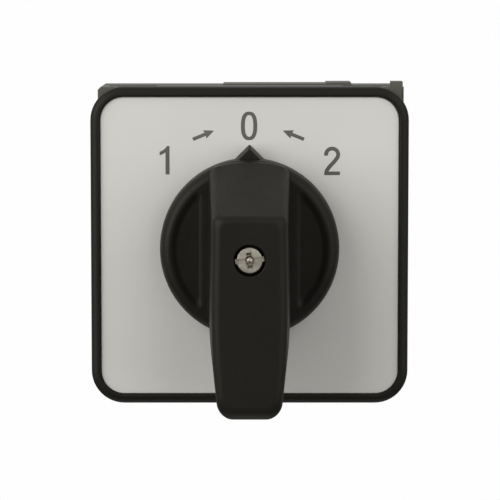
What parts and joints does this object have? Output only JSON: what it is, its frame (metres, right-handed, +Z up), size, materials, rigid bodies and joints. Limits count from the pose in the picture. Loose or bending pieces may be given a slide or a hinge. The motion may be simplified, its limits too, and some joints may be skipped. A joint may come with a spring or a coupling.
{
  "type": "manual transfer switch",
  "caption": "Panel-mounted rotary cam changeover switch: square bezel and plate marked 1, 0, 2, lever handle that springs back to 0, and cam-driven contact units behind.",
  "frame": {"origin": "where the shaft's axis crosses the panel's front surface, at the centre of the four fixing holes", "axes": "-Y towards the user, out of the panel; +Y into the panel, along the shaft; +Z up; +X to the user's right"},
  "size_m": [0.048, 0.0776, 0.0486],
  "materials": {
    "black_thermoplastic": "fine satin moulded texture",
    "dark_grey_thermoplastic": "matt moulded texture",
    "legend_plate_grey": "fine matt, dark grey printed marks",
    "gasket_rubber": "matt",
    "natural_polymer": "satin",
    "nickel_plated_steel": "satin nickel plate",
    "zinc_plated_steel": "bright zinc plate",
    "bright_steel": "drawn bar",
    "spring_steel": "drawn wire",
    "brass": "stamped strip",
    "bridge_copper": "stamped copper with silver-faced tips"
  },
  "bodies": {
    "switch_body": {"bezel": "black_thermoplastic", "panel_gasket": "gasket_rubber", "legend_plate": "legend_plate_grey", "shaft_seal": "gasket_rubber", "mechanism_housing": "dark_grey_thermoplastic", "mounting_nuts": "zinc_plated_steel", "tie_inserts": "brass", "return_spring": "spring_steel", "bearing_plate": "black_thermoplastic", "rear_cover": "black_thermoplastic", "tie_screws": "zinc_plated_steel", "chamber_1": "black_thermoplastic", "fixed_contacts_1": "brass", "terminal_clamps_1": "zinc_plated_steel", "terminal_screws_1": "zinc_plated_steel", "chamber_2": "black_thermoplastic", "fixed_contacts_2": "brass", "terminal_clamps_2": "zinc_plated_steel", "terminal_screws_2": "zinc_plated_steel", "chamber_3": "black_thermoplastic", "fixed_contacts_3": "brass", "terminal_clamps_3": "zinc_plated_steel", "terminal_screws_3": "zinc_plated_steel", "contact_spring_left_1": "spring_steel", "contact_spring_right_1": "spring_steel", "contact_spring_left_2": "spring_steel", "contact_spring_right_2": "spring_steel", "contact_spring_left_3": "spring_steel", "contact_spring_right_3": "spring_steel"},
    "rotor": {"handle": "black_thermoplastic", "handle_washer": "nickel_plated_steel", "handle_screw": "nickel_plated_steel", "shaft": "bright_steel", "return_driver": "natural_polymer", "cam_1": "natural_polymer", "cam_2": "natural_polymer", "cam_3": "natural_polymer"},
    "plunger_left_1": {"plunger_left_1": "natural_polymer", "bridge_left_1": "bridge_copper"},
    "plunger_right_1": {"plunger_right_1": "natural_polymer", "bridge_right_1": "bridge_copper"},
    "plunger_left_2": {"plunger_left_2": "natural_polymer", "bridge_left_2": "bridge_copper"},
    "plunger_right_2": {"plunger_right_2": "natural_polymer", "bridge_right_2": "bridge_copper"},
    "plunger_left_3": {"plunger_left_3": "natural_polymer", "bridge_left_3": "bridge_copper"},
    "plunger_right_3": {"plunger_right_3": "natural_polymer", "bridge_right_3": "bridge_copper"}
  },
  "joints": [
    {"name": "handle_turn", "type": "hinge", "parent": "switch_body", "child": "rotor", "pos_m": [0, 0, 0], "axis": [0, 1, 0], "range_deg": [-45, 45], "stiffness_Nm_per_rad": 0.5, "deforming": ["return_spring"]},
    {"name": "contact_slide_left_1", "type": "slide", "parent": "switch_body", "child": "plunger_left_1", "axis": [1, 0, 0], "range_m": [-0.0016, 0.0016], "deforming": ["contact_spring_left_1"]},
    {"name": "contact_slide_right_1", "type": "slide", "parent": "switch_body", "child": "plunger_right_1", "axis": [1, 0, 0], "range_m": [-0.0016, 0.0016], "deforming": ["contact_spring_right_1"]},
    {"name": "contact_slide_left_2", "type": "slide", "parent": "switch_body", "child": "plunger_left_2", "axis": [1, 0, 0], "range_m": [-0.0016, 0.0016], "deforming": ["contact_spring_left_2"]},
    {"name": "contact_slide_right_2", "type": "slide", "parent": "switch_body", "child": "plunger_right_2", "axis": [1, 0, 0], "range_m": [-0.0016, 0.0016], "deforming": ["contact_spring_right_2"]},
    {"name": "contact_slide_left_3", "type": "slide", "parent": "switch_body", "child": "plunger_left_3", "axis": [1, 0, 0], "range_m": [-0.0016, 0.0016], "deforming": ["contact_spring_left_3"]},
    {"name": "contact_slide_right_3", "type": "slide", "parent": "switch_body", "child": "plunger_right_3", "axis": [1, 0, 0], "range_m": [-0.0016, 0.0016], "deforming": ["contact_spring_right_3"]}
  ],
  "couplings": [
    {"joint": "contact_slide_left_1", "follows": "handle_turn", "m_per_rad": -0.002037},
    {"joint": "contact_slide_right_1", "follows": "handle_turn", "m_per_rad": -0.002037},
    {"joint": "contact_slide_left_2", "follows": "handle_turn", "m_per_rad": -0.002037},
    {"joint": "contact_slide_right_2", "follows": "handle_turn", "m_per_rad": -0.002037},
    {"joint": "contact_slide_left_3", "follows": "handle_turn", "m_per_rad": -0.002037},
    {"joint": "contact_slide_right_3", "follows": "handle_turn", "m_per_rad": -0.002037}
  ]
}
